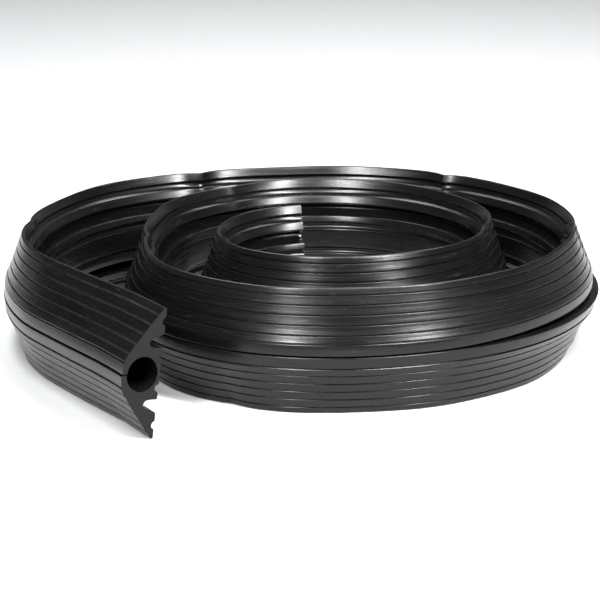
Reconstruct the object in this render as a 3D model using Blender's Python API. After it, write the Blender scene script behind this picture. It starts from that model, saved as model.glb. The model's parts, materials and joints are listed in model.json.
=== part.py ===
"""Rubber floor cable protector, coiled for storage and standing on its long edge.

The protector is one extruded strip: a hollow ramp with a slit along its crown, through which a
cable is pressed into the round bore. The strip flexes along its whole length, so it is modelled as
a chain of short straight segments hinged on vertical axes at the height of the bore. In the last
stretch at each cut end the slit can be opened: there the section is three solids, the web under the
bore and two halves that swing apart about it.

Units are metres, +Z is up, and the coil's lower edge stands on Z = 0. A segment's own frame has
X along the strip, Y outwards from the coil (from the base towards the crown) and Z up.
"""

import math

import bmesh
import bpy
from mathutils import Matrix, Vector

# Section of the strip, u across it from the middle and v up from its base.
WIDTH = 0.118
HEIGHT = 0.040
CROWN_HALF = 0.012  # half width of the flat crown beside the slit
TIP_THICKNESS = 0.0025
BORE_RADIUS = 0.016
BORE_HEIGHT = 0.0186  # of the bore's centre above the base, so the web under it is 2.6 mm
BORE_SIDES = 16
SLIT_GAP = 0.0008
WEB_HALF = 0.0046  # half width of the web solid at the cut ends
CHANNEL_START = 0.0235  # of the side channel's inner wall from the middle
CHANNEL_WIDTH = 0.0120
CHANNEL_DEPTH = 0.0146
INNER_GROOVE = (0.0134, 0.0076, 0.0042)  # middle, width and depth of a small base groove
OUTER_GROOVE = (0.0470, 0.0076, 0.0030)

# Plan of the coil from the outer cut end: radius of each bend, how far it turns, and its segments.
BENDS = (
    (4.980, 1.61, 1),
    (0.4725, 8.49, 1),
    (0.2552, 22.45, 1),
    (0.2815, 28.49, 2),
    (0.1999, 31.53, 2),
    (0.3561, 40.22, 3),
    (0.2319, 88.93, 5),
    (0.2450, 84.19, 5),
    (0.1755, 91.43, 4),
    (1.5400, 2.98, 1),
    (0.1687, 129.09, 6),
    (0.1511, 151.69, 6),
    (0.0976, 152.67, 5),
)
START_HEADING = 125.4  # degrees from +X, leaving the outer cut end
ROOT_SEGMENT = 21  # the segment that the others hang on

# Coiling pushes the flanges' tips outwards. The lift grows from nothing at the cut ends.
COIL_LIFT = 0.0175
INNER_LIFT = 0.0205
LIFT_FROM = 0.018  # u where the flange starts to bend
LIFT_POWER = 1.35
OUTER_EASE = 0.30  # length of strip over which the lift grows at the outer end
INNER_EASE = 0.20

GAP = 0.0003  # between two solids that meet
OUTER_OPENING = 0.080  # length of strip that opens at each cut end
INNER_OPENING = 0.036
OVERLENGTH = 0.02  # how far a prism runs past the planes that trim it

RUBBER_COLOUR = (0.012, 0.012, 0.013, 1.0)
RUBBER_ROUGHNESS = 0.42


def clear_scene():
    for obj in list(bpy.data.objects):
        bpy.data.objects.remove(obj)


def collection(name):
    made = bpy.data.collections.new(name)
    bpy.context.scene.collection.children.link(made)
    return made


def rubber():
    material = bpy.data.materials.new("black_rubber")
    material.use_nodes = True
    shader = material.node_tree.nodes["Principled BSDF"]
    shader.inputs["Base Color"].default_value = RUBBER_COLOUR
    shader.inputs["Roughness"].default_value = RUBBER_ROUGHNESS
    shader.inputs["Metallic"].default_value = 0.0
    return material


def groove(middle, width, depth):
    """A small rounded groove in the base, from its outer edge inwards."""
    half = width / 2
    return [
        (middle + half, 0.0),
        (middle + 0.6 * half, depth),
        (middle - 0.6 * half, depth),
        (middle - half, 0.0),
    ]


def outer_half():
    """The half section's outside, from the slit's edge over the ramp and along the base."""
    near = CHANNEL_START
    channel = [
        (near + CHANNEL_WIDTH, 0.0),
        (near + 0.55 * CHANNEL_WIDTH, CHANNEL_DEPTH),
        (near + 0.18 * CHANNEL_WIDTH, 0.92 * CHANNEL_DEPTH),
        (near, 0.68 * CHANNEL_DEPTH),
        (near, 0.0),
    ]
    return (
        [
            (SLIT_GAP / 2, HEIGHT),
            (CROWN_HALF, HEIGHT),
            (WIDTH / 2, TIP_THICKNESS),
            (WIDTH / 2, 0.0),
        ]
        + groove(*OUTER_GROOVE)
        + channel
        + groove(*INNER_GROOVE)
    )


def bore_arc(u_from, u_to):
    """The bore's wall on the u > 0 side, downwards between two distances from the middle."""
    start = math.asin(u_from / BORE_RADIUS)
    end = math.pi - math.asin(u_to / BORE_RADIUS)
    steps = BORE_SIDES // 2
    angles = [start + (end - start) * i / steps for i in range(steps + 1)]
    return [
        (BORE_RADIUS * math.sin(a), BORE_HEIGHT + BORE_RADIUS * math.cos(a))
        for a in angles
    ]


def whole_section():
    """The closed outline with its slit: over the u > 0 side, along the base, up the other side."""
    half = outer_half()
    bore = bore_arc(SLIT_GAP / 2, 0.0)
    left = [(-u, v) for u, v in reversed(half)]
    left_bore = [(-u, v) for u, v in bore[:-1]]
    return half + left + left_bore + list(reversed(bore))


def half_section():
    """One half of the section, cut off beside the web."""
    edge = WEB_HALF + GAP
    bore = bore_arc(SLIT_GAP / 2, edge)
    return outer_half() + [(edge, 0.0)] + list(reversed(bore))


def web_section():
    """The web under the bore."""
    side = BORE_HEIGHT - math.sqrt(BORE_RADIUS**2 - WEB_HALF**2)
    top = [(WEB_HALF, side), (0.0, BORE_HEIGHT - BORE_RADIUS), (-WEB_HALF, side)]
    return [(WEB_HALF, 0.0)] + top + [(-WEB_HALF, 0.0)]


def lifted(section, lift):
    """The section with its flanges bent up by lift at their tips."""
    span = WIDTH / 2 - LIFT_FROM
    bent = []
    for u, v in section:
        past = max(0.0, abs(u) - LIFT_FROM) / span
        bent.append((u, v + lift * past**LIFT_POWER))
    return bent


def prism(section, start, end):
    """A bmesh of the section run along X from start to end, with the bore's centre at Y = 0."""
    bm = bmesh.new()
    corners = [
        bm.verts.new((start, v - BORE_HEIGHT, WIDTH / 2 + u)) for u, v in section
    ]
    face = bm.faces.new(corners)
    run = bmesh.ops.extrude_face_region(bm, geom=[face])
    moved = [g for g in run["geom"] if isinstance(g, bmesh.types.BMVert)]
    bmesh.ops.translate(bm, vec=(end - start, 0, 0), verts=moved)
    bmesh.ops.recalc_face_normals(bm, faces=bm.faces)
    return bm


def trim(bm, point, outwards):
    """Cuts away what lies past a plane, and closes the cut."""
    everything = bm.verts[:] + bm.edges[:] + bm.faces[:]
    cut = bmesh.ops.bisect_plane(
        bm,
        geom=everything,
        plane_co=point,
        plane_no=outwards,
        clear_outer=True,
        dist=1e-7,
    )
    rim = [g for g in cut["geom_cut"] if isinstance(g, bmesh.types.BMEdge)]
    open_rim = [e for e in rim if e.is_boundary]
    bmesh.ops.holes_fill(bm, edges=open_rim, sides=0)


def trim_end(bm, x, side, turn):
    """Shapes a hinged end: square outside the hinge line, and bevelled by half the turn inside it.

    Outside, the ends close up when the strip is straight. Inside, they close up in the coil.
    """
    edge = Vector((x - side * GAP / 2, 0, 0))
    trim(bm, edge, Vector((side, 0, 0)))
    if turn > 0:
        half = math.radians(turn) / 2
        trim(bm, edge, Vector((side * math.cos(half), -math.sin(half), 0)))


def add_object(name, bm, into, parent, material, location, heading):
    mesh = bpy.data.meshes.new(name)
    bmesh.ops.recalc_face_normals(bm, faces=bm.faces)
    bm.to_mesh(mesh)
    bm.free()
    mesh.materials.append(material)
    obj = bpy.data.objects.new(name, mesh)
    into.objects.link(obj)
    obj.parent = parent
    obj.location = location
    obj.rotation_euler = (0, 0, heading)
    return obj


def chords():
    """The segments in plan, from the outer cut end: (start point, heading, length, turn after it).

    Each segment is a chord of its bend, so the turn at a hinge is half of each neighbour's step.
    """
    steps = [
        (radius, math.radians(turn) / count)
        for radius, turn, count in BENDS
        for _ in range(count)
    ]
    point, tangent, found = Vector((0, 0, 0)), math.radians(START_HEADING), []
    for i, (radius, step) in enumerate(steps):
        heading = tangent - step / 2
        length = 2 * radius * math.sin(step / 2)
        after = steps[i + 1][1] if i + 1 < len(steps) else -step
        found.append((point.copy(), heading, length, math.degrees(step + after) / 2))
        point += Matrix.Rotation(heading, 3, "Z") @ Vector((length, 0, 0))
        tangent -= step
    return found


def eased(share):
    share = min(1.0, max(0.0, share))
    return share * share * (3 - 2 * share)


def lift_at(along, total):
    """How far the flange tips are pushed out, at a distance along the strip."""
    inner_share = eased((along - 0.55 * total) / (0.25 * total))
    lift = COIL_LIFT + (INNER_LIFT - COIL_LIFT) * inner_share
    ease = eased(along / OUTER_EASE) * eased((total - along) / INNER_EASE)
    return lift * ease


def opening_end(name, x_from, x_to, lift, place):
    """The three solids of a stretch whose slit opens."""
    web = prism(web_section(), x_from, x_to)
    place(f"{name}_end_web", web)
    upper = prism(lifted(half_section(), lift), x_from, x_to)
    place(f"{name}_end_upper_half", upper)
    lower = prism(lifted([(-u, v) for u, v in half_section()], lift), x_from, x_to)
    place(f"{name}_end_lower_half", lower)


def build():
    clear_scene()
    parts = collection("cable_protector")
    material = rubber()
    coil = bpy.data.objects.new("coil", None)
    parts.objects.link(coil)

    plan = chords()
    total = sum(length for _, _, length, _ in plan)
    along, turn_before = 0.0, 0.0
    for number, (point, heading, length, turn_after) in enumerate(plan, start=1):
        lift = lift_at(along + length / 2, total)
        # the object's origin lies on the hinge towards the root segment
        hinge_x = length if number < ROOT_SEGMENT else 0.0
        origin = point + Matrix.Rotation(heading, 3, "Z") @ Vector((hinge_x, 0, 0))

        def place(name, bm, hinge_x=hinge_x, origin=origin, heading=heading):
            bmesh.ops.translate(bm, vec=(-hinge_x, 0, 0), verts=bm.verts)
            add_object(name, bm, parts, coil, material, origin, heading)

        start, end = -OVERLENGTH, length + OVERLENGTH
        if number == 1:
            start = OUTER_OPENING + GAP
            opening_end("outer", 0.0, OUTER_OPENING, lift, place)
        if number == len(plan):
            end = length - INNER_OPENING - GAP
            opening_end("inner", length - INNER_OPENING, length, lift, place)
        body = prism(lifted(whole_section(), lift), start, end)
        if number > 1:
            trim_end(body, 0.0, -1, turn_before)
        if number < len(plan):
            trim_end(body, length, 1, turn_after)
        place(f"strip_segment_{number:02d}", body)
        along += length
        turn_before = turn_after

    centre_on_origin(coil, parts)


def centre_on_origin(coil, parts):
    """Moves the whole coil so that the middle of its box in plan is the origin."""
    bpy.context.view_layer.update()
    corners = [
        obj.matrix_world @ vertex.co
        for obj in parts.objects
        if obj.type == "MESH"
        for vertex in obj.data.vertices
    ]
    for axis in (0, 1):
        values = [corner[axis] for corner in corners]
        coil.location[axis] = -(min(values) + max(values)) / 2
    bpy.context.view_layer.update()


build()
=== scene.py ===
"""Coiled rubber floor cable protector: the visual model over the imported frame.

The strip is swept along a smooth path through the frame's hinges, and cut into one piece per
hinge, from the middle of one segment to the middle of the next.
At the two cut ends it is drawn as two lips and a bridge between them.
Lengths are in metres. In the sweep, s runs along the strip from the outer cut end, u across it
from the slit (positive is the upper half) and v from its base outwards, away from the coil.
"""

import json
import math

import bpy
import numpy as np
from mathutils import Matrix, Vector
from mathutils.geometry import tessellate_polygon

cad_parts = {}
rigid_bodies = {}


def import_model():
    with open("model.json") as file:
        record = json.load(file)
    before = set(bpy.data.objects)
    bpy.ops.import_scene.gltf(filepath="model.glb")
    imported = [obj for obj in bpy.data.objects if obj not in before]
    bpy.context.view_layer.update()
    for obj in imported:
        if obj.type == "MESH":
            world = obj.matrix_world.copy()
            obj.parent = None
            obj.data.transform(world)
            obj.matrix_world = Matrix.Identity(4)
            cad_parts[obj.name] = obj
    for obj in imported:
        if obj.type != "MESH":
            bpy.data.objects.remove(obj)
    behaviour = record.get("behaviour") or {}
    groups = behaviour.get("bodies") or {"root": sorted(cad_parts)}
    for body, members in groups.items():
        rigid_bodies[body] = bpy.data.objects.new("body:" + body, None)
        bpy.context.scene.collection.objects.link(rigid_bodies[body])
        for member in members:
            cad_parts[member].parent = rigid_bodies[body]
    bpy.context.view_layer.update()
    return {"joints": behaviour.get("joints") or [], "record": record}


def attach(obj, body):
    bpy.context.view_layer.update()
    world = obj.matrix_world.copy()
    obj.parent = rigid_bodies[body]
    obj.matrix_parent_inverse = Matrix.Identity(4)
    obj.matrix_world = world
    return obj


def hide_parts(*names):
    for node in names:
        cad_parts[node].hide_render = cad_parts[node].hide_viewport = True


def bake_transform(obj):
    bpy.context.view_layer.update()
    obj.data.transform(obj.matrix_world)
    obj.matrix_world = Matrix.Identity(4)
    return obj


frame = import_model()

# Section.
WIDTH = 0.118
HEIGHT = 0.040
CROWN_HALF = 0.012  # half width of the crown between the ramps
CROWN_FALL = 0.0011  # of the crown's edge below its middle
RAMP_CROWN = 0.0010  # how far the middle of a ramp stands above a straight line
TIP = 0.0025  # thickness at the flange's edge
BORE_RADIUS = 0.016
BORE_HEIGHT = 0.0186  # of the bore's centre above the base
BORE_STEPS = 15  # sides of the bore's wall in each half
SLIT_HALF = 0.0004
LIP_DEPTH = 0.003  # from the crown to where the outline starts on the slit's wall
LIP_RADIUS = 0.0012
WEB_HALF = 0.0046  # half width of the web under the bore
GROOVE_US = (0.0190, 0.0275, 0.0360, 0.0445, 0.0530)  # fine grooves on the ramps
GROOVE_HALF = 0.0007
GROOVE_DEPTH = 0.0010
GROOVE_MARGIN = 0.0030  # from a groove's middle to the plain ramp beside it
GROOVE_RIM = 0.0001  # how far a groove's uphill edge stands above the ramp
BASE_GROOVE_HALF = 0.0038
BASE_GROOVE_SHOULDER = 0.0024  # half width of a base groove near its bottom
CHANNEL_NEAR = 0.0235  # u of the undercut channel's side towards the bore
CHANNEL_WIDTH = 0.0120
CHANNEL_DEPTH = 0.0146
CORNER_SHARE = 0.48  # the most of a side that the rounding of one corner takes
OUTLINE_STEP = 0.0045  # longest side of an outline

# Length of the stretch that opens at each cut end.
OUTER_OPENING = 0.080
INNER_OPENING = 0.036


# ---- section -------------------------------------------------------------------------------


def rounded(corners, steps=3):
    """Points along (u, v, radius) corners, with each corner rounded."""
    points = []
    last = len(corners) - 1
    for i, (u, v, radius) in enumerate(corners):
        here = np.array((u, v))
        if radius <= 0 or i in (0, last):
            points.append(here)
            continue
        before = np.array(corners[i - 1][:2]) - here
        after = np.array(corners[i + 1][:2]) - here
        longest = (CORNER_SHARE * np.hypot(*before), CORNER_SHARE * np.hypot(*after))
        reach = min(radius, *longest)
        start = here + before / np.hypot(*before) * reach
        end = here + after / np.hypot(*after) * reach
        for t in np.linspace(0, 1, steps + 1):
            points.append((1 - t) ** 2 * start + 2 * t * (1 - t) * here + t * t * end)
    return points


def ramp_height(u):
    """Height of the ramp at u, slightly crowned between the crown's edge and the tip."""
    share = (u - CROWN_HALF) / (WIDTH / 2 - CROWN_HALF)
    return HEIGHT + (TIP - HEIGHT) * share + RAMP_CROWN * math.sin(math.pi * share)


def ramp_groove(middle):
    """A fine groove in the ramp, with a point of the plain ramp on each side of it."""
    before, after = middle - GROOVE_MARGIN, middle + GROOVE_MARGIN
    uphill, downhill = middle - GROOVE_HALF, middle + GROOVE_HALF
    return [
        (before, ramp_height(before), 0.001),
        (uphill, ramp_height(uphill) + GROOVE_RIM, 0.0003),
        (middle, ramp_height(middle) - GROOVE_DEPTH, 0.0002),
        (downhill, ramp_height(downhill), 0.0004),
        (after, ramp_height(after), 0.001),
    ]


def ramp_corners():
    """From the slit's edge over the crown and down the ramp to the tip."""
    edge_height = HEIGHT - CROWN_FALL
    corners = [
        (SLIT_HALF, HEIGHT - LIP_DEPTH, 0),
        (SLIT_HALF, HEIGHT, LIP_RADIUS),
        (0.45 * CROWN_HALF, HEIGHT - 0.0003, 0.004),
        (CROWN_HALF - 2.2 * GROOVE_HALF, edge_height, 0.0003),
        (CROWN_HALF - GROOVE_HALF, edge_height - GROOVE_DEPTH, 0.0002),
        (CROWN_HALF + 0.0004, HEIGHT - 0.0009, 0.0006),
    ]
    for middle in GROOVE_US:
        corners += ramp_groove(middle)
    corners += [
        (WIDTH / 2, TIP, 0.0012),
        (WIDTH / 2, 0.0, 0.0008),
    ]
    return corners


def base_groove(middle, depth, shoulder_depth, radius):
    """A shallow rounded groove in the base, from its outer side to its inner one."""
    return [
        (middle + BASE_GROOVE_HALF, 0.0, 0.0010),
        (middle + BASE_GROOVE_SHOULDER, shoulder_depth, radius),
        (middle, depth, radius),
        (middle - BASE_GROOVE_SHOULDER, shoulder_depth, radius),
        (middle - BASE_GROOVE_HALF, 0.0, 0.0010),
    ]


def undercut_channel():
    """The deep channel in the base, from its outer side to its inner one."""
    near, width, depth = CHANNEL_NEAR, CHANNEL_WIDTH, CHANNEL_DEPTH
    return [
        (near + width, 0.0, 0.0012),
        (near + 0.62 * width, 0.86 * depth, 0.0030),
        (near + 0.45 * width, depth, 0.0030),
        (near + 0.10 * width, 0.90 * depth, 0.0035),
        (near, 0.62 * depth, 0.0030),
        (near, 0.0, 0.0010),
    ]


def base_corners():
    """Along the base from the tip to the web: groove, channel, groove."""
    return [
        *base_groove(0.0470, 0.0032, 0.0026, 0.0016),
        (0.0400, 0.0, 0),
        *undercut_channel(),
        (0.0205, 0.0, 0),
        *base_groove(0.0134, 0.0043, 0.0034, 0.0018),
        (WEB_HALF, 0.0, 0),
    ]


def subdivided(points):
    """The polyline with extra points wherever a side is long."""
    out = [points[0]]
    for a, b in zip(points, points[1:]):
        count = max(1, math.ceil(np.hypot(*(b - a)) / OUTLINE_STEP))
        out += [a + (b - a) * k / count for k in range(1, count + 1)]
    return out


def bore_points(u_from, u_to):
    """The bore's wall on the u > 0 side, from its top edge down."""
    start = math.asin(u_from / BORE_RADIUS)
    end = math.pi - math.asin(u_to / BORE_RADIUS)
    angles = [start + (end - start) * i / BORE_STEPS for i in range(BORE_STEPS + 1)]
    return [
        np.array((BORE_RADIUS * math.sin(a), BORE_HEIGHT + BORE_RADIUS * math.cos(a)))
        for a in angles
    ]


def half_outline():
    """Closed outline of the upper half beside the web, clockwise from the slit's top."""
    outside = subdivided(rounded(ramp_corners() + base_corners()))
    bore = bore_points(SLIT_HALF, WEB_HALF)
    return np.array(outside + bore[::-1])


def mirrored(outline):
    """The same outline in the other half of the section."""
    return (outline * (-1, 1))[::-1]


def web_outline():
    """Closed outline of the web under the bore."""
    side = BORE_HEIGHT - math.sqrt(BORE_RADIUS**2 - WEB_HALF**2)
    top = BORE_HEIGHT - BORE_RADIUS
    return np.array(
        [
            (WEB_HALF, 0.0),
            (0.0, 0.0),
            (-WEB_HALF, 0.0),
            (-WEB_HALF, side),
            (-WEB_HALF / 2, (side + 3 * top) / 4),
            (0.0, top),
            (WEB_HALF / 2, (side + 3 * top) / 4),
            (WEB_HALF, side),
        ]
    )


def whole_outline():
    """Closed outline of the whole section, through the slit and round the bore."""
    upper = half_outline()
    lower = mirrored(upper)
    web = web_outline()
    base_middle, bore_bottom = web[1:2], web[5:6]
    bore_count = BORE_STEPS + 1
    upper_outside, upper_bore = upper[:-bore_count], upper[-bore_count:]
    lower_bore, lower_outside = lower[:bore_count], lower[bore_count:]
    return np.vstack(
        [upper_outside, base_middle, lower_outside, lower_bore, bore_bottom, upper_bore]
    )


# ---- path ----------------------------------------------------------------------------------

CUT_MOUNT_HEIGHT = 0.015  # of the cut faces' mount points above the base
RING_STEP = 0.0045  # distance between the rings of the sweep
OUTER_SPARE = 0.02  # from the end of the outer opening to where its lips end


def outward_of(heading):
    """The direction away from the coil, in plan, where the strip runs along the heading."""
    return np.array((-math.sin(heading), math.cos(heading)))


def hinge_points():
    """The path's points in plan: the outer cut, each hinge, the inner cut."""
    found = {}
    for joint in frame["joints"]:
        pair = (joint["parent"], joint["child"])
        if all(name.startswith("segment_") for name in pair):
            number = min(int(name[-2:]) for name in pair)
            found[number] = np.array(joint["pos_m"][:2])
    mounts = {mount["name"]: mount for mount in frame["record"]["mounts"]}
    ends = []
    for name, sense in (("outer_cut_face", -1), ("inner_cut_face", 1)):
        axis = sense * np.array(mounts[name]["axis"][:2])
        outward = np.array((-axis[1], axis[0]))
        place = np.array(mounts[name]["pos_m"][:2])
        ends.append(place + outward * (BORE_HEIGHT - CUT_MOUNT_HEIGHT))
    return [ends[0]] + [found[k] for k in sorted(found)] + [ends[1]]


def curve_at(t, a, b, ta, tb):
    """The place and slope at share t of a cubic from a to b with the end slopes ta and tb."""
    place = (
        (2 * t**3 - 3 * t**2 + 1) * a
        + (t**3 - 2 * t**2 + t) * ta
        + (-2 * t**3 + 3 * t**2) * b
        + (t**3 - t**2) * tb
    )
    slope = (
        (6 * t**2 - 6 * t) * a
        + (3 * t**2 - 4 * t + 1) * ta
        + (-6 * t**2 + 6 * t) * b
        + (3 * t**2 - 2 * t) * tb
    )
    return place, slope


def smooth_path(points):
    """Rings along a smooth curve through the points, with a ring on each split between pieces.

    Returns the rings as (x, y, heading, s) and the split rings' indices.
    """
    steps = np.diff(points, axis=0)
    lengths = np.hypot(steps[:, 0], steps[:, 1])
    headings = np.unwrap(np.arctan2(steps[:, 1], steps[:, 0]))
    tangents = (headings[1:] + headings[:-1]) / 2
    first = 2 * headings[0] - tangents[0]
    last = 2 * headings[-1] - tangents[-1]
    tangents = np.concatenate([[first], tangents, [last]])
    rings, splits, along = [], [], 0.0
    count = len(lengths)
    for k in range(count):
        split = 0.5
        if k == 0:
            split = (OUTER_OPENING + OUTER_SPARE) / lengths[k]
        if k == count - 1:
            split = (lengths[k] - INNER_OPENING) / 2 / lengths[k]
        before = max(1, round(split * lengths[k] / RING_STEP))
        after = max(1, round((1 - split) * lengths[k] / RING_STEP))
        shares = list(np.linspace(0, split, before + 1)[:-1])
        shares += list(np.linspace(split, 1, after + 1))
        if k > 0:
            shares = shares[1:]
            before -= 1
        turn = tangents[k] - tangents[k + 1]
        reach = lengths[k] * (1 + turn * turn / 24)
        a, b = points[k], points[k + 1]
        ta = reach * np.array((math.cos(tangents[k]), math.sin(tangents[k])))
        tb = reach * np.array((math.cos(tangents[k + 1]), math.sin(tangents[k + 1])))
        splits.append(len(rings) + before)
        for t in shares:
            place, slope = curve_at(t, a, b, ta, tb)
            heading = math.atan2(slope[1], slope[0])
            if rings:
                along += math.hypot(place[0] - rings[-1][0], place[1] - rings[-1][1])
            rings.append((place[0], place[1], heading, along))
    return np.array(rings), splits


PATH_POINTS = hinge_points()
RINGS, SPLITS = smooth_path(PATH_POINTS)
LENGTH = RINGS[-1, 3]


# ---- how the section changes along the coil ------------------------------------------------

LIFT_FROM = 0.014  # the flange is pushed outwards beyond this distance from the slit
LIFT_POWER = 1.25
LIFT_LIMIT = 1.05  # the push grows no further beyond this share of the flange
COIL_LIFT = 0.0185  # outward push of the flange tips where the strip is coiled
INNER_LIFT = 0.0205  # the same on the innermost turn
LIFT_START = 0.02  # length of growth that lies before the outer cut
UPPER_LIFT_LENGTH = 0.34  # over which the push grows from the outer cut
LOWER_LIFT_LENGTH = 0.30
GROWTH_LENGTH = 0.32  # over which the outer end's flange takes its coiled shape
GROWTH_POWER = 0.3
INNER_END_SHARE = 0.8  # of the coiled shape that is left at the inner cut
INNER_END_LENGTH = 0.10
END_LEAN = math.radians(8.6)  # of the section at the outer cut, lower edge outwards
LEAN_LENGTH = 0.30
END_FLARE = 0.0085  # how far the outer end stands outside the path
FLARE_LENGTH = 0.06

# The slow waviness of the flange edges: height, wave length over two pi, phase.
WAVES = ((0.0012, 0.043, 1.0), (0.0009, 0.021, 2.2))
WAVE_POWER = 2.2

# Where the slit gapes: the ends of the stretch, and the lengths it takes to open and to close.
GAPE_START, GAPE_RISE = 0.95, 0.18
GAPE_END, GAPE_FALL = 1.28, 0.16
GAPE_LEAST, GAPE_MORE = 0.0002, 0.0016  # half of the slit's extra width, and what a gape adds
STEP_LEAST, STEP_MORE = 0.0004, 0.0042  # the lower lip's step outwards, and what a gape adds
UPPER_LIP_SHARE = 0.4  # of that step, by which the upper lip is drawn in
LIP_ABOVE_BORE = 0.008  # the lips move from this height above the bore's centre
LIP_REACH = 0.030  # and to this distance from the slit

# Wrinkles where the bent flange has buckled: distance along the strip, depth, half width.
UPPER_WRINKLES = (
    (0.350, 0.004, 0.016),
    (0.628, 0.010, 0.013),
    (0.903, 0.010, 0.013),
    (1.165, 0.010, 0.012),
    (1.820, 0.005, 0.015),
    (2.040, 0.004, 0.016),
    (2.430, 0.005, 0.013),
    (2.760, 0.004, 0.012),
)
LOWER_WRINKLES = (
    (0.050, 0.004, 0.018),
    (0.470, 0.006, 0.016),
    (1.200, 0.009, 0.013),
    (1.620, 0.005, 0.016),
    (2.100, 0.006, 0.014),
)


def eased(share):
    """The share from 0 to 1, with a soft start and end."""
    share = np.clip(share, 0.0, 1.0)
    return share * share * (3 - 2 * share)


def coil_lift(s):
    """The outward push of the flange tips in the coil at s."""
    inner = eased((s - 0.5 * LENGTH) / (0.25 * LENGTH))
    return COIL_LIFT + (INNER_LIFT - COIL_LIFT) * inner


def wrinkle(s, wrinkles):
    """How far the wrinkles pull the flange tips back in at s."""
    dip = 0.0
    for place, depth, width in wrinkles:
        dip += depth * math.exp(-abs(s - place) / width)
    return dip


def wave(s):
    """A slow waviness of the flange edges."""
    return sum(height * math.sin(s / length + phase) for height, length, phase in WAVES)


def slit_opening(s):
    """Half of how far the slit gapes, and how far its lower lip stands out."""
    gape = eased((s - GAPE_START) / GAPE_RISE) * (1 - eased((s - GAPE_END) / GAPE_FALL))
    return GAPE_LEAST + GAPE_MORE * gape, STEP_LEAST + STEP_MORE * gape


def gaped(u, v, s):
    """The section's coordinates with its lips moved apart as they are at s."""
    gape, step = slit_opening(s)
    crown_above = HEIGHT - BORE_HEIGHT - LIP_ABOVE_BORE
    above = np.clip((v - BORE_HEIGHT - LIP_ABOVE_BORE) / crown_above, 0, 1)
    near_slit = above * np.clip(1 - np.abs(u) / LIP_REACH, 0, 1)
    moved_v = v + np.where(u < 0, step, -step * UPPER_LIP_SHARE) * near_slit
    return u + np.sign(u) * gape * near_slit, moved_v


def flange_push(u, s):
    """How far the flange is pushed outwards at u by the coiling, at s."""
    past = np.clip((np.abs(u) - LIFT_FROM) / (WIDTH / 2 - LIFT_FROM), 0, LIFT_LIMIT)
    at_inner_end = eased((LENGTH - s) / INNER_END_LENGTH)
    kept = INNER_END_SHARE + (1 - INNER_END_SHARE) * at_inner_end
    grown_in = eased(s / GROWTH_LENGTH) * kept
    upper_growth = eased((s + LIFT_START) / UPPER_LIFT_LENGTH)
    lower_growth = eased((s + LIFT_START) / LOWER_LIFT_LENGTH)
    upper = coil_lift(s) * upper_growth - wrinkle(s, UPPER_WRINKLES)
    lower = coil_lift(s) * lower_growth - wrinkle(s, LOWER_WRINKLES)
    push = np.where(u > 0, upper, lower) * grown_in**GROWTH_POWER
    return push * past**LIFT_POWER + wave(s) * grown_in * past**WAVE_POWER


def bent(outline, s):
    """The outline's (outward, up) coordinates at s, measured from the bore's centre line."""
    u, v = gaped(outline[:, 0], outline[:, 1], s)
    lean = END_LEAN * (1 - eased(s / LEAN_LENGTH))
    y = v + flange_push(u, s) - BORE_HEIGHT + END_FLARE * math.exp(-s / FLARE_LENGTH)
    out = y * math.cos(lean) - u * math.sin(lean)
    up = u * math.cos(lean) + y * math.sin(lean)
    return out, up


LOWER_TIP = np.array([(-WIDTH / 2, 0.0), (-WIDTH / 2, TIP)])


def shaped(outline, s):
    """The bent outline, raised where the section leans so that its lower edge stays on the floor."""
    out, up = bent(outline, s)
    lowest = bent(LOWER_TIP, s)[1].min()
    return out, up + max(0.0, -WIDTH / 2 - lowest)


def grid(outline, first, last):
    """Points of the swept outline from one ring to another: rings, points, xyz."""
    found = []
    for x, y, heading, s in RINGS[first : last + 1]:
        out, up = shaped(outline, s)
        normal = outward_of(heading)
        found.append(
            np.stack([x + normal[0] * out, y + normal[1] * out, WIDTH / 2 + up], -1)
        )
    return np.array(found)


# ---- meshes --------------------------------------------------------------------------------

CREASE = math.cos(math.radians(38))  # faces that meet at a larger angle stay sharp
TINY = 1e-15  # keeps an empty face from dividing by nothing
RUBBER_SLOT, CUT_SLOT = 0, 1


def corner_normals(points):
    """For each quad of a grid closed across the section, the normals of its four corners."""
    nxt = np.roll(points, -1, axis=1)
    across = nxt[:-1] - points[1:]
    along = nxt[1:] - points[:-1]
    flat = np.cross(across, along)
    size = np.linalg.norm(flat, axis=-1, keepdims=True)
    unit = flat / np.maximum(size, TINY)
    corners = []
    for di, dj in ((0, 0), (0, 1), (1, 1), (1, 0)):
        total = np.zeros_like(flat)
        for oi in (di - 1, di):
            for oj in (dj - 1, dj):
                other = np.roll(flat, -oj, axis=1)
                other_unit = np.roll(unit, -oj, axis=1)
                if oi == -1:
                    other = np.concatenate([other[:1], other[:-1]])
                    other_unit = np.concatenate([other_unit[:1], other_unit[:-1]])
                if oi == 1:
                    other = np.concatenate([other[1:], other[-1:]])
                    other_unit = np.concatenate([other_unit[1:], other_unit[-1:]])
                close = (unit * other_unit).sum(-1, keepdims=True) > CREASE
                total += np.where(close, other, 0)
        size = np.linalg.norm(total, axis=-1, keepdims=True)
        corners.append(total / np.maximum(size, TINY))
    return np.stack(corners, axis=2)


class Faces:
    """The faces of a mesh, with the texture place and the normal at each corner."""

    def __init__(self):
        self.corners = []
        self.uvs = []
        self.normals = []
        self.slots = []

    def add(self, corners, uvs, normals, slot):
        self.corners.append(tuple(corners))
        self.uvs += uvs
        self.normals += normals
        self.slots.append(slot)


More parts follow.
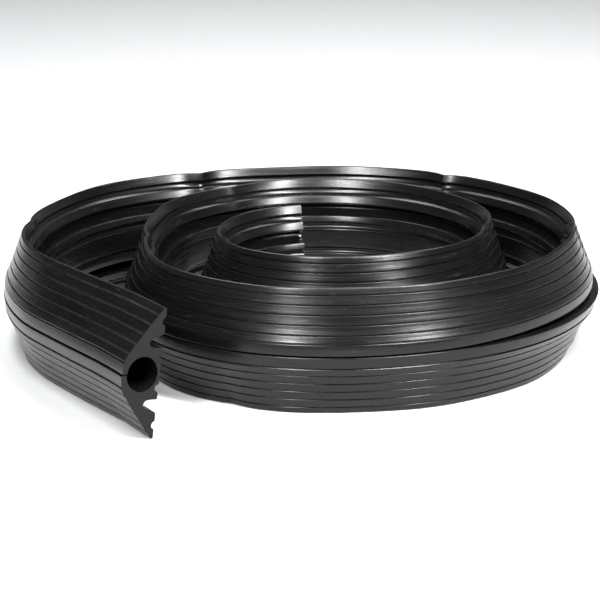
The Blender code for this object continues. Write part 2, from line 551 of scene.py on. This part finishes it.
def add_walls(faces, outline, normals, first):
    """Quads from each ring to the next, all round the section."""
    gaps, count = normals.shape[:2]
    sides = np.roll(outline, -1, axis=0) - outline
    girth = np.concatenate([[0], np.cumsum(np.hypot(*sides.T))])
    for i in range(gaps):
        s0, s1 = RINGS[first + i, 3], RINGS[first + i + 1, 3]
        here, beyond = i * count, (i + 1) * count
        for j in range(count):
            k = (j + 1) % count
            corners = (here + j, here + k, beyond + k, beyond + j)
            uvs = [(s0, girth[j]), (s0, girth[j + 1]), (s1, girth[j + 1]), (s1, girth[j])]
            faces.add(corners, uvs, list(normals[i, j]), RUBBER_SLOT)


def add_cap(faces, outline, points, first, ring, slot):
    """Triangles that close the section at the first or last ring, facing out of the piece."""
    heading, s = RINGS[first + ring, 2:]
    facing = np.array((math.cos(heading), math.sin(heading), 0.0))
    if ring == 0:
        facing = -facing
    section = [Vector((out, up, 0)) for out, up in zip(*shaped(outline, s))]
    for triangle in tessellate_polygon([section]):
        a, b, c = (points[ring, index] for index in triangle)
        corners = list(triangle)
        if np.dot(np.cross(b - a, c - a), facing) < 0:
            corners.reverse()
        uvs = [tuple(outline[index]) for index in corners]
        faces.add((ring * len(outline) + index for index in corners), uvs, [facing] * 3, slot)


def swept_piece(name, outline, first, last, materials, cut_first=False, cut_last=False):
    """A closed piece of the strip between two rings."""
    low, high = max(0, first - 1), min(len(RINGS) - 1, last + 1)
    wide = grid(outline, low, high)
    normals = corner_normals(wide)[first - low : last - low]
    points = wide[first - low : last - low + 1]
    faces = Faces()
    add_walls(faces, outline, normals, first)
    add_cap(faces, outline, points, first, 0, CUT_SLOT if cut_first else RUBBER_SLOT)
    last_slot = CUT_SLOT if cut_last else RUBBER_SLOT
    add_cap(faces, outline, points, first, len(points) - 1, last_slot)
    mesh = bpy.data.meshes.new(name)
    mesh.from_pydata([tuple(p) for p in points.reshape(-1, 3)], [], faces.corners)
    layer = mesh.uv_layers.new(name="UVMap")
    layer.data.foreach_set("uv", np.array(faces.uvs, np.float32).ravel())
    for material in materials:
        mesh.materials.append(material)
    mesh.polygons.foreach_set("material_index", faces.slots)
    mesh.polygons.foreach_set("use_smooth", [True] * len(faces.corners))
    mesh.normals_split_custom_set([tuple(normal) for normal in faces.normals])
    mesh.update()
    obj = bpy.data.objects.new(name, mesh)
    bpy.context.scene.collection.objects.link(obj)
    return obj


# ---- materials -----------------------------------------------------------------------------


RUBBER_DARK = (0.0013, 0.0012, 0.0011, 1)
RUBBER_LIGHT = (0.0032, 0.0029, 0.0026, 1)
SCUFF_COLOUR = (0.020, 0.019, 0.018, 1)
SCUFF_STRENGTH = 0.55
CUT_DARK = (0.0050, 0.0048, 0.0048, 1)
CUT_LIGHT = (0.0105, 0.0100, 0.0098, 1)

# Sockets of the mix node when it mixes colours.
MIX_FACTOR, MIX_FIRST, MIX_SECOND = 0, 6, 7
MIX_RESULT = 2


def node(tree, kind, **values):
    """A new node, with values for its inputs or else for its settings."""
    made = tree.nodes.new(kind)
    for key, value in values.items():
        if key in made.inputs:
            made.inputs[key].default_value = value
        else:
            setattr(made, key, value)
    return made


def mapped_noise(tree, source, stretch, detail=4.0, roughness=0.6):
    """Noise with the given number of cells per metre in each direction."""
    mapping = node(tree, "ShaderNodeMapping")
    mapping.inputs["Scale"].default_value = stretch
    tree.links.new(source, mapping.inputs["Vector"])
    noise = node(tree, "ShaderNodeTexNoise", Scale=1.0, Detail=detail, Roughness=roughness)
    tree.links.new(mapping.outputs["Vector"], noise.inputs["Vector"])
    return noise.outputs["Fac"]


def ramp(tree, source, stops):
    """A colour ramp with (position, colour) stops, two or more."""
    made = node(tree, "ShaderNodeValToRGB")
    elements = made.color_ramp.elements
    for index, (position, colour) in enumerate(stops):
        element = elements[index] if index < 2 else elements.new(position)
        element.position = position
        element.color = colour
    tree.links.new(source, made.inputs["Fac"])
    return made.outputs["Color"]


def grey(value):
    return (value, value, value, 1.0)


def combined(tree, operation, a, b):
    """A math node on two sources, each a socket or a number."""
    made = node(tree, "ShaderNodeMath", operation=operation)
    for socket, value in zip(made.inputs, (a, b)):
        if isinstance(value, (int, float)):
            socket.default_value = value
        else:
            tree.links.new(value, socket)
    return made.outputs["Value"]


def weighted_sum(tree, constant, *terms):
    """The constant plus the terms, each a source and its weight."""
    total = constant
    for source, weight in terms:
        total = combined(tree, "ADD", total, combined(tree, "MULTIPLY", source, weight))
    return total


def add_bump(tree, shader, height, strength, distance):
    bump = node(tree, "ShaderNodeBump", Strength=strength, Distance=distance)
    tree.links.new(height, bump.inputs["Height"])
    tree.links.new(bump.outputs["Normal"], shader.inputs["Normal"])


def new_material(name):
    material = bpy.data.materials.new(name)
    material.use_nodes = True
    tree = material.node_tree
    return material, tree, tree.nodes["Principled BSDF"]


def rubber_material():
    """Satin black rubber with streaks along the strip, pits and scuffs."""
    material, tree, shader = new_material("black_rubber_satin")
    uv = node(tree, "ShaderNodeUVMap").outputs["UV"]
    streaks = mapped_noise(tree, uv, (7.0, 330.0, 1.0))
    broad = mapped_noise(tree, uv, (9.0, 40.0, 1.0))
    fine = mapped_noise(tree, uv, (1500.0, 1500.0, 1.0), 2.0)
    pits = node(tree, "ShaderNodeTexVoronoi", Scale=260.0)
    tree.links.new(uv, pits.inputs["Vector"])
    pit = ramp(tree, pits.outputs["Distance"], ((0.0, grey(0.0)), (0.13, grey(1.0))))
    scuffs = mapped_noise(tree, uv, (30.0, 190.0, 1.0), 6.0, 0.7)
    scuff = ramp(tree, scuffs, ((0.60, grey(0.0)), (0.74, grey(1.0))))

    colour = ramp(tree, broad, ((0.30, RUBBER_DARK), (0.72, RUBBER_LIGHT)))
    tint = node(tree, "ShaderNodeMix", data_type="RGBA")
    strength = combined(tree, "MULTIPLY", scuff, SCUFF_STRENGTH)
    tree.links.new(strength, tint.inputs[MIX_FACTOR])
    tree.links.new(colour, tint.inputs[MIX_FIRST])
    tint.inputs[MIX_SECOND].default_value = SCUFF_COLOUR
    tree.links.new(tint.outputs[MIX_RESULT], shader.inputs["Base Color"])

    rough = weighted_sum(tree, 0.07, (streaks, 0.26), (broad, 0.12), (scuff, 0.10))
    tree.links.new(rough, shader.inputs["Roughness"])
    height = weighted_sum(tree, 0.0, (streaks, 0.55), (fine, 0.18), (pit, 0.22))
    add_bump(tree, shader, height, 0.34, 0.0006)
    shader.inputs["Specular IOR Level"].default_value = 0.27
    return material


def cut_material():
    """The matt sawn face of a cut end."""
    material, tree, shader = new_material("black_rubber_cut")
    uv = node(tree, "ShaderNodeUVMap").outputs["UV"]
    marks = mapped_noise(tree, uv, (220.0, 1500.0, 1.0), 3.0)
    grain = mapped_noise(tree, uv, (2600.0, 2600.0, 1.0), 2.0)
    colour = ramp(tree, grain, ((0.25, CUT_DARK), (0.75, CUT_LIGHT)))
    tree.links.new(colour, shader.inputs["Base Color"])
    rough = weighted_sum(tree, 0.55, (marks, 0.2))
    tree.links.new(rough, shader.inputs["Roughness"])
    add_bump(tree, shader, combined(tree, "ADD", marks, grain), 0.3, 0.0003)
    shader.inputs["Specular IOR Level"].default_value = 0.08
    return material


def floor_material():
    """A matt pale floor with a faint grain."""
    material, tree, shader = new_material("pale_floor")
    place = node(tree, "ShaderNodeTexCoord").outputs["Object"]
    grain = mapped_noise(tree, place, (60.0, 60.0, 60.0), 2.0)
    colour = ramp(tree, grain, ((0.3, grey(0.42)), (0.7, grey(0.44))))
    tree.links.new(colour, shader.inputs["Base Color"])
    shader.inputs["Roughness"].default_value = 0.9
    shader.inputs["Specular IOR Level"].default_value = 0.1
    return material


# ---- the strip -----------------------------------------------------------------------------


# Length at each cut at which the ring for a lip is looked up. The ring found is not used.
OUTER_RIGID = 0.045
INNER_RIGID = 0.012


def segment(number):
    return f"segment_{number:02d}"


def ring_at(s):
    """The ring nearest to s."""
    return int(np.abs(RINGS[:, 3] - s).argmin())


def build_bends(materials):
    """One piece per hinge, from the middle of one segment to the middle of the next."""
    whole = whole_outline()
    count = len(SPLITS)
    for k in range(1, count):
        first, last = SPLITS[k - 1], SPLITS[k]
        piece = swept_piece(f"strip_bend_{k:02d}", whole, first, last, materials)
        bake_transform(piece)
        stands_for = [f"strip_segment_{k:02d}"]
        if k == count - 1:
            stands_for.append(f"strip_segment_{count:02d}")
        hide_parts(*stands_for)


def build_ends(materials):
    """Two lips and a bridge at each cut end."""
    upper, web = half_outline(), web_outline()
    lower = mirrored(upper)
    count = len(SPLITS)
    ends = (
        ("outer", segment(1), 0, SPLITS[0]),
        ("inner", segment(count), SPLITS[-1], len(RINGS) - 1),
    )
    for name, body, first, last in ends:
        at_start = name == "outer"
        cuts = {"cut_first": at_start, "cut_last": not at_start}
        for side, outline in (("upper", upper), ("lower", lower)):
            label = f"{name}_end_{side}_lip"
            piece = swept_piece(label, outline, first, last, materials, **cuts)
            if at_start:
                start = ring_at(OUTER_RIGID)
                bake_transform(piece)
            else:
                stop = ring_at(LENGTH - INNER_RIGID)
                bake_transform(piece)
            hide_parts(f"{name}_end_{side}_half")
        piece = swept_piece(f"{name}_end_bridge", web, first, last, materials, **cuts)
        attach(piece, body)
        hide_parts(f"{name}_end_web")


def build_strip():
    materials = (rubber_material(), cut_material())
    build_bends(materials)
    build_ends(materials)


# ---- surroundings --------------------------------------------------------------------------

AIM_OFFSET = (0.1310, 0.2329)  # of the camera's aim from the outer cut's bore
CAMERA_DISTANCE = 2.353
CAMERA_PITCH = math.radians(16.37)
CAMERA_LENS = 145.94
SENSOR_WIDTH = 36.0

FLOOR_REACH = 20.0  # from the frame's origin to each side of the floor
FLOOR_DROP = 0.0005  # keeps the floor clear of the strip's lower edge

LIGHT_COLOUR = (0.975, 0.988, 1.0)
# Name, azimuth and elevation in degrees, distance, width and length, power in watts.
SOFTBOXES = (
    ("left_front", -20, 46, 2.0, (0.20, 1.50), 112.0),
    ("right_front", 43, 46, 2.0, (0.20, 1.50), 160.0),
    ("rear_wash", 180, 55, 2.6, (2.0, 0.8), 78.0),
)
# Brightness of the room by the sine of the height above the horizon.
ROOM_STOPS = ((0.0, grey(0.70)), (0.06, grey(0.45)), (0.28, grey(0.05)), (1.0, grey(0.04)))


def add_floor():
    mesh = bpy.data.meshes.new("floor")
    reach = FLOOR_REACH
    corners = [(-reach, -reach, 0), (reach, -reach, 0), (reach, reach, 0), (-reach, reach, 0)]
    mesh.from_pydata(corners, [], [(0, 1, 2, 3)])
    mesh.materials.append(floor_material())
    floor = bpy.data.objects.new("floor", mesh)
    floor.location.z = -FLOOR_DROP
    bpy.context.scene.collection.objects.link(floor)


def add_camera():
    """The camera at the photo's viewing angle. Returns the point it looks at."""
    data = bpy.data.cameras.new("camera")
    data.lens = CAMERA_LENS
    data.sensor_width = SENSOR_WIDTH
    camera = bpy.data.objects.new("camera", data)
    x, y = PATH_POINTS[0]
    aim = Vector((x + AIM_OFFSET[0], y + AIM_OFFSET[1], WIDTH / 2))
    away = Vector((0, -math.cos(CAMERA_PITCH), math.sin(CAMERA_PITCH)))
    camera.location = aim + away * CAMERA_DISTANCE
    camera.rotation_euler = (math.pi / 2 - CAMERA_PITCH, 0, 0)
    bpy.context.scene.collection.objects.link(camera)
    bpy.context.scene.camera = camera
    return aim


def add_softbox(aim, name, azimuth, elevation, distance, size, power):
    """An area light facing the aim. Azimuth 0 is the camera's side, and 90 its right."""
    around, above = math.radians(azimuth), math.radians(elevation)
    level = math.cos(above)
    away = Vector((math.sin(around) * level, -math.cos(around) * level, math.sin(above)))
    data = bpy.data.lights.new(name, "AREA")
    data.shape = "RECTANGLE"
    data.size, data.size_y = size
    data.energy = power
    data.color = LIGHT_COLOUR
    light = bpy.data.objects.new(name, data)
    light.location = aim + away * distance
    light.rotation_euler = (-away).to_track_quat("-Z", "Y").to_euler()
    bpy.context.scene.collection.objects.link(light)


def add_world():
    """A white room near the horizon that is dim overhead, so that the ramps stay dark."""
    world = bpy.data.worlds.new("studio")
    world.use_nodes = True
    tree = world.node_tree
    parts = node(tree, "ShaderNodeSeparateXYZ")
    tree.links.new(node(tree, "ShaderNodeTexCoord").outputs["Generated"], parts.inputs[0])
    glow = ramp(tree, parts.outputs["Z"], ROOM_STOPS)
    tree.links.new(glow, tree.nodes["Background"].inputs["Color"])
    bpy.context.scene.world = world


def light_scene(aim):
    add_world()
    for softbox in SOFTBOXES:
        add_softbox(aim, *softbox)
    bpy.context.scene.view_settings.view_transform = "Standard"


build_strip()
add_floor()
light_scene(add_camera())
